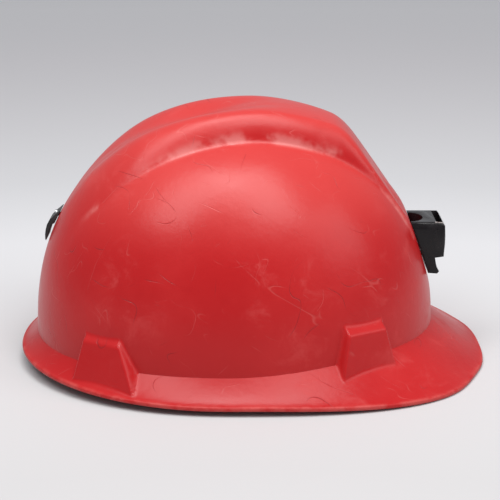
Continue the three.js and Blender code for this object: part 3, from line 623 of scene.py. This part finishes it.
def plated_steel(name):
    """Zinc plated steel with turning marks and a little rust."""
    paint, tree, shader, where = new_material(name, (0.62, 0.62, 0.63), 0.3)
    shader.inputs["Metallic"].default_value = 1.0
    marks = cloud(tree, where, 900.0, 3.0)
    rust = between(tree, cloud(tree, where, 260.0, 5.0, 0.7), 0.58, 0.74)
    shade = tint(tree, maths(tree, "MULTIPLY", marks, 0.5), (0.50, 0.50, 0.51), (0.70, 0.69, 0.67))
    shade = tint(tree, maths(tree, "MULTIPLY", rust, 0.7), shade, (0.25, 0.10, 0.045))
    tree.links.new(shade, shader.inputs["Base Color"])
    bare = maths(tree, "SUBTRACT", 1.0, maths(tree, "MULTIPLY", rust, 0.8))
    tree.links.new(bare, shader.inputs["Metallic"])
    tree.links.new(between(tree, marks, 0.3, 0.7, 0.22, 0.42), shader.inputs["Roughness"])
    relief(tree, shader, marks, 0.0001)
    return paint


bracket = softened("lamp_bracket", "bracket_block", 0.55)
bracket_black, tree, shader, where, shade = moulded_plastic(
    "gloss black nylon", (0.006, 0.0045, 0.0055), 0.13, 0.1, 0.10, 0.05
)
shader.inputs["Specular IOR Level"].default_value = 0.26
place_mm = wire(tree, "ShaderNodeVectorMath", {0: where, "Scale": 1000.0}, operation="SCALE").outputs[0]
place_mm = wire(tree, "ShaderNodeSeparateXYZ", {0: place_mm})
SLOT_MIDDLE_X, SLOT_HALF_X, SLOT_HALF_Y = 114.8, 2.15, 14.5
from_slot = maths(tree, "ABSOLUTE", maths(tree, "SUBTRACT", place_mm.outputs[0], SLOT_MIDDLE_X))
beside_x = maths(tree, "SUBTRACT", from_slot, SLOT_HALF_X)
beside_y = maths(tree, "SUBTRACT", maths(tree, "ABSOLUTE", place_mm.outputs[1]), SLOT_HALF_Y)
rim_gap = maths(tree, "ABSOLUTE", maths(tree, "MAXIMUM", beside_x, beside_y))
on_top = between(tree, place_mm.outputs[2], 84.4, 85.2)
near_end = between(tree, place_mm.outputs[1], -12.4, -13.2)
rubbed_rim = maths(tree, "MULTIPLY", between(tree, rim_gap, 0.9, 0.3), on_top)
rubbed_rim = maths(tree, "MULTIPLY", rubbed_rim, near_end)
rubbed_rim = maths(tree, "MULTIPLY", rubbed_rim, between(tree, cloud(tree, where, 400.0, 3.0), 0.30, 0.50))
shade = tint(tree, maths(tree, "MULTIPLY", rubbed_rim, 0.75), shade, (0.42, 0.37, 0.35))
tree.links.new(shade, shader.inputs["Base Color"])
coat(bracket, bracket_black, "bracket_black")
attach(bracket, "hat")

zinc = plated_steel("zinc plated steel")
for node, name, width in (
    ("bracket_plate", "backing_plate", 0.35),
    ("bracket_screw_left", "bracket_screw_l", 0.2),
    ("bracket_screw_right", "bracket_screw_r", 0.2),
):
    piece = softened(node, name, width)
    coat(piece, zinc, "steel")
    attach(piece, "hat")

# ------------------------------------------------------------------ rear cord clip
# A satin black sprung lip riveted to the rear of the crown: a lamp's cord is pushed up
# under its free lower edge.
clip = softened("cord_clip", "cord_clip_lip", 0.6)
coat(clip, moulded_plastic("satin black clip", (0.012, 0.010, 0.010), 0.38, 0.6)[0], "clip_black")
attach(clip, "hat")
rivet = softened("clip_rivet", "rivet", 0.3)
coat(rivet, zinc, "steel")
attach(rivet, "hat")

# ------------------------------------------------------------------ head band
# A flexible strip of black polyethylene round the brow and sides, with an ear over each temple
# for the rear keys. It is moulded flat and bends round the head.
BAND_MIDDLE_X = -23.25
BAND_ROUND, BAND_LONG, BAND_POWER = 83.4, 115.0, 2.35
NAPE_Z = 17.0


def band_radius(angle):
    c, q = math.cos(angle), abs(math.sin(angle))
    if c <= 0:
        return BAND_ROUND
    return ((c / BAND_LONG) ** BAND_POWER + (q / BAND_ROUND) ** BAND_POWER) ** (-1 / BAND_POWER)


def on_band(r, a, z):
    return (BAND_MIDDLE_X + r * math.cos(a), r * math.sin(a), z)


def round_section(inner, outer, low, high, corner, crown=0.0, steps=5):
    """An upright strip's section with round corners; crown swells its inner face."""
    section = []
    for sx, sz, start in ((1, 1, 0), (-1, 1, 90), (-1, -1, 180), (1, -1, 270)):
        cx = (outer if sx > 0 else inner) - sx * corner
        cz = (high if sz > 0 else low) - sz * corner
        for i in range(steps):
            a = math.radians(start + 90 * i / (steps - 1))
            section.append((cx + corner * math.cos(a), cz + corner * math.sin(a)))
        if (sx, sz) == (-1, 1):
            for i in range(1, 12):
                t = i / 12
                section.append((inner - crown * math.sin(math.pi * t) ** 0.6, cz + (low + corner - cz) * t))
    return section


def bent_strip(name, sections, crease=50):
    """A strip round the band's upright axis: each entry is an angle in degrees and a section."""
    rings = []
    for degrees, section in sections:
        a = math.radians(degrees)
        base = band_radius(a)
        rings.append([on_band(base + off, a, z) for off, z in section])
    return ring_stack(name, rings, crease)


def band_edges(degrees):
    back = float(ease(abs(degrees), 58, 96))
    ear = math.exp(-(((abs(degrees) - 127) / 5.5) ** 4))
    low = 18.2 + (NAPE_Z - 13 - 18.2) * back
    return low, 47.2 + (NAPE_Z + 13 - 47.2) * back + 11 * ear


band_black = moulded_plastic("black polyethylene", (0.014, 0.014, 0.016), 0.46, 0.8, 0.3)[0]
head_band = bent_strip(
    "brow_band", [(d, round_section(0.4, 2.0, *band_edges(d), 0.6)) for d in np.arange(-135, 135.1, 1.0)]
)
POST_Z = 35.6
for boss, foot, out, along in boss_places:
    reach = 12.0
    while True:
        spot = foot - out * reach
        angle = math.atan2(spot[1], spot[0] - BAND_MIDDLE_X)
        if math.hypot(spot[0] - BAND_MIDDLE_X, spot[1]) < band_radius(angle) + 2.0:
            break
        reach += 0.1

    def post_axis(r, a, h, foot=foot, out=out, along=along):
        return foot + out * h + along * r * math.sin(a) + np.array([0, 0, POST_Z + r * math.cos(a)])

    cut_away(head_band, turned("post_hole", [(2.75, 6 - reach), (2.75, -7 - reach)], post_axis), 50)
coat(head_band, band_black, "key_black")
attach(head_band, "hat")
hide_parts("head_band")

# ------------------------------------------------------------------ brow pad and nape pad
# Foam strips in a knitted cover, sewn round the edge; the brow pad is glued and the nape
# pad is pressed into the ratchet's tray.


def knitted_cover(name, colour):
    """Fine knit: two crossed ridges a millimetre apart, lint and darker sweat marks."""
    paint, tree, shader, where = new_material(name, colour, 0.95)
    shader.inputs["Specular IOR Level"].default_value = 0.2
    shader.inputs["Sheen Weight"].default_value = 0.35
    knit_size = {"Vector": where, "Scale": 150.0, "Distortion": 0.6}
    ribs = [
        wire(tree, "ShaderNodeTexWave", knit_size, bands_direction=axis) for axis in ("DIAGONAL", "Z")
    ]
    knit = maths(tree, "MULTIPLY", ribs[0].outputs["Fac"], ribs[1].outputs["Fac"])
    stain = between(tree, cloud(tree, where, 35.0, 4.0), 0.45, 0.68)
    dark, light = tuple(0.6 * c for c in colour), tuple(1.5 * c for c in colour)
    shade = tint(tree, maths(tree, "MULTIPLY", knit, 0.55), dark, light)
    shade = tint(tree, maths(tree, "MULTIPLY", stain, 0.45), shade, tuple(0.5 * c for c in colour))
    tree.links.new(shade, shader.inputs["Base Color"])
    relief(tree, shader, knit, 0.0004, 0.8)
    return paint


def pad_strip(name, first, last, inner, outer, low, high, swell):
    """A soft strip that swells between its sewn edge and thins towards its rounded ends."""
    sections = []
    for d in np.linspace(first, last, 121):
        end = min(d - first, last - d)
        fade = math.sqrt(max(1 - (1 - min(end / 4.0, 1)) ** 2, 0.02))
        quilt = 0.75 + 0.25 * abs(math.sin(math.pi * (d - first) / (last - first) * 6)) ** 0.5
        tall = (high - low) / 2 * (0.80 + 0.20 * fade)
        middle = (high + low) / 2
        thin = inner + (outer - inner) * 0.45
        bulge = swell * fade * quilt
        sections.append((d, round_section(thin, outer, middle - tall, middle + tall, 0.7, bulge)))
    return bent_strip(name, sections, 70)


def stitches(name, first, last, offset, heights, colour):
    """A row of thread stitches laid along a strip at each height."""
    points, faces = [], []
    for z in heights:
        for d in np.arange(first, last, 2.0):
            for share, radius in ((0.0, 0.08), (0.35, 0.28), (0.7, 0.28), (1.0, 0.08)):
                a = math.radians(d + 1.3 * share)
                base = band_radius(a) + offset
                for j in range(6):
                    turn = math.pi * j / 3
                    r = base + radius * math.cos(turn)
                    points.append(on_band(r, a, z + radius * math.sin(turn)))
            start = len(points) - 24
            for i in range(3):
                for j in range(6):
                    a, b = start + 6 * i + j, start + 6 * i + (j + 1) % 6
                    faces.append((a, b, b + 6, a + 6))
            faces.extend([tuple(range(start, start + 6)), tuple(range(start + 18, start + 24))])
    thread = new_piece(name, np.array(points) * MM, faces, 80)
    paint, tree, shader, where = new_material(name + " thread", colour, 0.8)
    twist = wire(tree, "ShaderNodeTexWave", {"Vector": where, "Scale": 500.0}, bands_direction="DIAGONAL")
    shade = tint(tree, twist.outputs["Fac"], tuple(0.7 * c for c in colour), colour)
    tree.links.new(shade, shader.inputs["Base Color"])
    relief(tree, shader, twist.outputs["Fac"], 0.0001)
    coat(thread, paint, "pad")
    return thread


cover_grey = knitted_cover("grey knit", (0.075, 0.072, 0.070))
brow_pad = pad_strip("brow_sweatband", -35.8, 35.8, -3.4, 0.05, 17.4, 46.0, 1.7)
nape_pad = pad_strip("nape_cushion", 154.3, 205.7, -8.3, -5.15, 3.7, 30.3, 1.6)
for piece, node in ((brow_pad, "brow_pad"), (nape_pad, "nape_pad")):
    coat(piece, cover_grey, "pad")
    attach(piece, "hat")
    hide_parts(node)
for thread in (
    stitches("brow_stitches", -33.5, 33.0, -1.95, (19.3, 44.1), (0.20, 0.19, 0.18)),
    stitches("nape_stitches", 157, 202.0, -6.95, (5.6, 28.4), (0.20, 0.19, 0.18)),
):
    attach(thread, "hat")

# ------------------------------------------------------------------ nape straps and keepers
# Two grey nylon straps with a rack on one edge slide under the band ends; a keeper on each
# side holds them together. The pinion between the racks draws both in at once.
nylon_grey = moulded_plastic("grey nylon", (0.055, 0.056, 0.060), 0.5, 0.9, 0.3)[0]
for side in ("left", "right"):
    rack = softened("nape_strap_" + side, "rack_strap_" + side, 0.18)
    coat(rack, nylon_grey, "suspension_grey")
    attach(rack, side + "_strap")
    keeper = softened("keeper_" + side, "keeper_loop_" + side, 0.25)
    coat(keeper, nylon_grey, "suspension_grey")
    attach(keeper, "hat")

# ------------------------------------------------------------------ ratchet
# A tray and a cover, held by two self tapping screws, carry the pinion. Its shaft comes out
# through the cover and a fluted knob is screwed to it.
for node, name, width, slot, paint in (
    ("ratchet_tray", "housing_tray", 0.35, "suspension_grey", nylon_grey),
    ("ratchet_cover", "housing_cover", 0.4, "suspension_grey", nylon_grey),
    ("housing_screw_left", "tapping_screw_l", 0.15, "steel", zinc),
    ("housing_screw_right", "tapping_screw_r", 0.15, "steel", zinc),
):
    piece = softened(node, name, width)
    coat(piece, paint, slot)
    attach(piece, "hat")
pinion = softened("ratchet_pinion", "pinion_gear", 0.12)
coat(pinion, nylon_grey, "suspension_grey")
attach(pinion, "knob")

KNOB_RADIUS, KNOB_FLUTES = 16.5, 12


def knob_axis(r, a, h):
    return (BAND_MIDDLE_X - BAND_ROUND - h, -r * math.sin(a), NAPE_Z + r * math.cos(a))


# share of the radius, depth of the flutes and height, from the back of the knob to its face
KNOB_PROFILE = (
    (0.88, 0.01, 4.4), (0.93, 0.03, 4.6), (0.97, 0.035, 5.0), (1.0, 0.035, 5.8), (1.0, 0.035, 11.2),
    (0.99, 0.035, 12.2), (0.96, 0.03, 13.1), (0.91, 0.02, 13.9), (0.86, 0.008, 14.3), (0.78, 0.0, 14.5),
    (0.70, 0.0, 14.45), (0.66, 0.0, 14.0), (0.60, 0.0, 13.8), (0.30, 0.0, 13.8), (0.26, 0.0, 13.9),
)
rings = []
for scale, wave, h in KNOB_PROFILE:
    ring = []
    for j in range(240):
        a = 2 * math.pi * j / 240
        flute = math.copysign(abs(math.cos(KNOB_FLUTES * a)) ** 0.7, math.cos(KNOB_FLUTES * a))
        ring.append(knob_axis(KNOB_RADIUS * (scale - wave + wave * flute), a, h))
    rings.append(ring)
knob = ring_stack("fluted_knob", rings, 40)
cut_away(knob, turned("shaft_bore", [(4.4, 3), (4.4, 11.3)], knob_axis, 48), 40)
cut_away(knob, turned("screw_bore", [(1.7, 10), (1.7, 16)], knob_axis, 32), 40)
cut_away(knob, turned("screw_seat", [(3.6, 13.2), (3.6, 16)], knob_axis, 48), 40)
knob_black = moulded_plastic("black knob", (0.016, 0.016, 0.018), 0.42, 0.8, 0.4)[0]
coat(knob, knob_black, "key_black")
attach(knob, "knob")
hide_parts("ratchet_knob")
knob_screw = softened("knob_screw", "knob_fixing_screw", 0.15)
coat(knob_screw, zinc, "steel")
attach(knob_screw, "knob")

# ------------------------------------------------------------------ suspension keys
# Four black acetal hooks push up into the shell's pockets. Each holds the head band by a post
# and the end of one crown strap in a slot.
acetal = moulded_plastic("black acetal", (0.013, 0.013, 0.015), 0.34, 0.5, 0.3)[0]
for place in ("front_left", "front_right", "rear_left", "rear_right"):
    key = softened("key_" + place, "hook_" + place, 0.4)
    coat(key, acetal, "key_black")
    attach(key, "hat")

# ------------------------------------------------------------------ crown straps
# Two straps of 20 mm woven polyester cross under the crown. Each end passes through its key's
# slot and is sewn back on itself.
STRAP_WIDE, STRAP_THICK, STRAP_START = 20.0, 1.3, 45.2
TURN_BACK = [
    (-12.4, 59.2), (-11.2, 54.2), (-10.2, 50.8), (-8.7, 47.8), (-7.85, 45.2), (-7.85, 41.4),
    (-8.4, 39.9), (-9.9, 39.4), (-11.4, 39.8), (-11.95, 41.4),
]
boss_at = {}
for index, (boss, foot, out, along) in enumerate(boss_places):
    boss_at[("rear", "front")[index // 2] + ("_left", "_right")[index % 2]] = (foot, out, along)


def strap_line(start, end, top):
    """Centre line and width direction of a crown strap, from key to key."""
    ends = [boss_at[start], boss_at[end]]
    wides = [
        ends[0][2] * (1 if start.endswith("right") else -1),
        ends[1][2] * (-1 if end.endswith("right") else 1),
    ]

    def at(key, r, z):
        return key[0] + key[1] * r + np.array([0, 0, z])

    p, q = (at(key, -11.95, STRAP_START) for key in ends)
    middle, half = (p + q) / 2, (p - q) / 2
    across = np.array([-half[1], half[0], 0]) / math.hypot(half[0], half[1])
    across = across if across @ wides[0] > 0 else -across
    wides[1] = wides[1] if across @ wides[1] > 0 else -wides[1]
    line = [(at(ends[0], r, z), wides[0]) for r, z in TURN_BACK]
    for i in range(97):
        a = math.pi * i / 96
        spot = middle + half * math.cos(a)
        spot[2] = STRAP_START + (top - STRAP_START) * math.sin(a)
        key_side, blend = (0, ease(a, 0, 0.9)) if i < 48 else (1, ease(math.pi - a, 0, 0.9))
        line.append((spot, wides[key_side] * (1 - blend) + across * blend))
    line += [(at(ends[1], r, z), wides[1]) for r, z in TURN_BACK[::-1]]
    return line


def woven_strap(name, line):
    """A flat strap with thick selvedges; it stores how far along and across each point lies."""
    spots = np.array([spot for spot, wide in line])
    wides = np.array([wide / np.linalg.norm(wide) for spot, wide in line])
    gone = np.concatenate([[0], np.cumsum(np.linalg.norm(np.diff(spots, axis=0), axis=1))])
    steps = np.arange(0, gone[-1], 0.9)
    bell = np.exp(-((np.arange(-4, 5) / 2.2) ** 2))
    bell /= bell.sum()

    def flowing_line(values):
        dense = np.stack([np.interp(steps, gone, values[:, k]) for k in range(3)], -1)
        padded_line = np.concatenate([np.repeat(dense[:1], 4, 0), dense, np.repeat(dense[-1:], 4, 0)])
        return np.stack([np.convolve(padded_line[:, k], bell, "valid") for k in range(3)], -1)

    spots, wides = flowing_line(spots), flowing_line(wides)
    ahead = np.gradient(spots, axis=0)
    face = np.cross(ahead, wides)
    face /= np.linalg.norm(face, axis=1)[:, None]
    wides /= np.linalg.norm(wides, axis=1)[:, None]
    shares = np.linspace(-1, 1, 15)
    swell = 0.80 + 0.20 * np.clip((np.abs(shares) - 0.78) / 0.12, 0, 1)
    swell = swell * np.sqrt(np.clip(1 - np.clip((np.abs(shares) - 0.9) / 0.1, 0, 1) ** 2, 0.12, 1))
    outline = [(u, 1, h) for u, h in zip(shares, swell)]
    outline += [(u, -1, h) for u, h in zip(shares[::-1], swell[::-1])]
    rings = []
    for spot, wide, up in zip(spots, wides, face):
        rings.append([
            spot + wide * u * STRAP_WIDE / 2 + up * way * h * STRAP_THICK / 2 for u, way, h in outline
        ])
    piece = ring_stack(name, rings, 70)
    along_mm = np.repeat(steps, len(outline))
    across_mm = np.tile([u * STRAP_WIDE / 2 for u, way, h in outline], len(steps))
    for title, values in (("along", along_mm), ("across", across_mm)):
        layer = piece.data.attributes.new(title, "FLOAT", "POINT")
        layer.data.foreach_set("value", values.astype(np.float32))
    return piece


webbing_black, tree, shader, where = new_material("woven polyester", (0.02, 0.021, 0.024), 0.85)
shader.inputs["Sheen Weight"].default_value = 0.4
shader.inputs["Specular IOR Level"].default_value = 0.3
lengthwise = wire(tree, "ShaderNodeAttribute", attribute_name="along").outputs["Fac"]
sideways = wire(tree, "ShaderNodeAttribute", attribute_name="across").outputs["Fac"]
RIB_PITCH, YARN_PITCH = 1.25, 1.0
rib = maths(tree, "ABSOLUTE", maths(tree, "SINE", maths(tree, "MULTIPLY", lengthwise, math.pi / RIB_PITCH)))
chevron = maths(tree, "ADD", lengthwise, maths(tree, "ABSOLUTE", sideways))
twill = maths(tree, "ABSOLUTE", maths(tree, "SINE", maths(tree, "MULTIPLY", chevron, math.pi / RIB_PITCH)))
yarn = maths(tree, "ABSOLUTE", maths(tree, "SINE", maths(tree, "MULTIPLY", sideways, math.pi / YARN_PITCH)))
crossing = maths(tree, "MULTIPLY", twill, yarn)
weave = maths(tree, "MULTIPLY", crossing, maths(tree, "ADD", 0.6, maths(tree, "MULTIPLY", rib, 0.4)))
fluff = between(tree, cloud(tree, where, 240.0, 4.0, 0.7), 0.45, 0.75)
shade = tint(tree, weave, (0.006, 0.006, 0.008), (0.045, 0.047, 0.052))
shade = tint(tree, maths(tree, "MULTIPLY", fluff, 0.18), shade, (0.16, 0.15, 0.14))
tree.links.new(shade, shader.inputs["Base Color"])
relief(tree, shader, weave, 0.0003)
for node, start, end, top in (
    ("crown_strap_lower", "front_left", "rear_right", 114.2),
    ("crown_strap_upper", "front_right", "rear_left", 116.8),
):
    strap = woven_strap(node.replace("crown_strap", "webbing"), strap_line(start, end, top))
    coat(strap, webbing_black, "webbing")
    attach(strap, "hat")
    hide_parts(node)

# ------------------------------------------------------------------ floor and studio
# A wide pale table painted darker near a point in front of the hat and lighter further off, as painted shade
# and painted light; two soft boxes overhead, a fill from the peak's side and an even pale surround.
angles_round = np.linspace(0, 2 * np.pi, 97)[:-1]
ground_rings = [[(r * math.cos(a), r * math.sin(a), 0) for a in angles_round] for r in (0.3, 0.8, 2, 5)]
ground_points = [p for ring in ground_rings for p in ring] + [(0, 0, 0)]
ground_faces = [(i, (i + 1) % 96, len(ground_points) - 1) for i in range(96)]
for ring in range(3):
    for i in range(96):
        a, b = ring * 96 + i, ring * 96 + (i + 1) % 96
        ground_faces.append((a, a + 96, b + 96, b))
ground = new_piece("table", ground_points, ground_faces)
if ground.data.polygons[0].normal.z < 0:
    ground.data.flip_normals()
table_paint, tree, shader, where = new_material("pale table", (0.8, 0.8, 0.8), 0.75)
shader.inputs["Specular IOR Level"].default_value = 0.15
near_side = wire(tree, "ShaderNodeVectorMath", {0: where, 1: (0, 0.6, 0)}, operation="ADD").outputs[0]
distance = wire(tree, "ShaderNodeVectorMath", {0: near_side}, operation="LENGTH").outputs["Value"]
# painted shade and light: the table's colour runs from dark near the hat to light far off
ramp = wire(tree, "ShaderNodeValToRGB", {"Fac": maths(tree, "DIVIDE", distance, 2.6)})
stops = (
    (0.16, (0.56, 0.555, 0.555)), (0.27, (0.66, 0.655, 0.66)), (0.33, (0.74, 0.735, 0.745)),
    (0.41, (0.72, 0.715, 0.725)), (0.52, (0.78, 0.765, 0.775)), (0.70, (0.88, 0.855, 0.865)),
    (0.95, (1.0, 0.985, 0.99)),
)
while len(ramp.color_ramp.elements) < len(stops):
    ramp.color_ramp.elements.new(0.5)
for element, (place, paint) in zip(ramp.color_ramp.elements, stops):
    element.position = place
    element.color = (*paint, 1)
tree.links.new(ramp.outputs[0], shader.inputs["Base Color"])
ground.data.materials.append(table_paint)


def soft_box(name, place, aim, size, power):
    data = bpy.data.lights.new(name, "AREA")
    data.shape, data.size, data.size_y = "RECTANGLE", size[0], size[1]
    data.energy = power
    box = bpy.data.objects.new(name, data)
    box.location = place
    box.rotation_euler = (Vector(aim) - Vector(place)).to_track_quat("-Z", "Y").to_euler()
    bpy.context.scene.collection.objects.link(box)


soft_box("overhead left", (-0.34, -0.34, 1.05), (0, 0, 0.08), (0.42, 0.86), 6.6)
soft_box("overhead right", (0.18, -0.34, 1.05), (0, 0, 0.08), (0.42, 0.86), 6.6)
soft_box("peak fill", (1.0, -0.5, 0.8), (0.05, 0, 0.08), (0.7, 0.7), 3.5)
world = bpy.data.worlds.new("world")
bpy.context.scene.world = world
world.use_nodes = True
world.node_tree.nodes["Background"].inputs["Color"].default_value = (0.93, 0.95, 1.0, 1)
world.node_tree.nodes["Background"].inputs["Strength"].default_value = 0.42
bpy.context.scene.view_settings.view_transform = "Standard"
